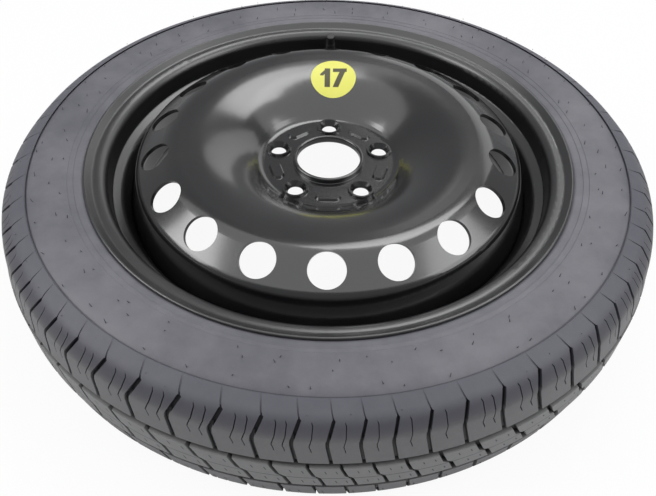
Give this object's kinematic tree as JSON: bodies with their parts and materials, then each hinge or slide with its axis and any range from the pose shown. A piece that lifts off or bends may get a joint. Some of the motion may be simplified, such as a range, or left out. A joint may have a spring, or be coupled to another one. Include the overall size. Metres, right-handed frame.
{
  "type": "temporary spare wheel",
  "caption": "Narrow temporary spare wheel: slim tyre on a welded black steel wheel with round vents, bolt holes, centre bore, plain round label and snap-in valve.",
  "frame": {"origin": "on the axle at the floor, under the wheel as it lies on its inboard side", "axes": "+Z along the axle, outboard and up; -Y towards the viewer of the picture; valve at +Y"},
  "size_m": [0.6318, 0.6318, 0.1299],
  "materials": {
    "tyre_rubber": "matt moulded rubber",
    "black_paint": "gloss black dip paint",
    "label_film": "printed vinyl film",
    "valve_rubber": "smooth rubber",
    "brass": "turned brass",
    "spring_steel": "drawn wire",
    "cap_plastic": "moulded plastic"
  },
  "bodies": {
    "wheel": {"tyre": "tyre_rubber", "rim": "black_paint", "wheel_disc": "black_paint", "disc_welds": "black_paint", "round_label": "label_film", "valve_body": "valve_rubber", "valve_stem": "brass", "valve_core_barrel": "brass", "valve_spring": "spring_steel"},
    "pin": {"valve_pin": "brass", "valve_pin_seal": "valve_rubber"},
    "cap_washer": {"valve_cap_seal": "valve_rubber"},
    "cap": {"valve_cap": "cap_plastic"}
  },
  "joints": [
    {"name": "pin_press", "type": "slide", "parent": "wheel", "child": "pin", "axis": [0, 0.2588, -0.9659], "range_m": [0, 0.0012], "stiffness_N_per_m": 2500, "deforming": ["valve_spring"]},
    {"name": "cap_lift", "type": "slide", "parent": "wheel", "child": "cap_washer", "axis": [0, -0.2588, 0.9659], "range_m": [0, 0.00397]},
    {"name": "cap_turn", "type": "hinge", "parent": "cap_washer", "child": "cap", "pos_m": [0, 0.2075, 0.089], "axis": [0, -0.2588, 0.9659], "range_deg": [0, 1830]}
  ],
  "couplings": [
    {"joint": "cap_turn", "follows": "cap_lift", "rad_per_m": 7913.3}
  ]
}
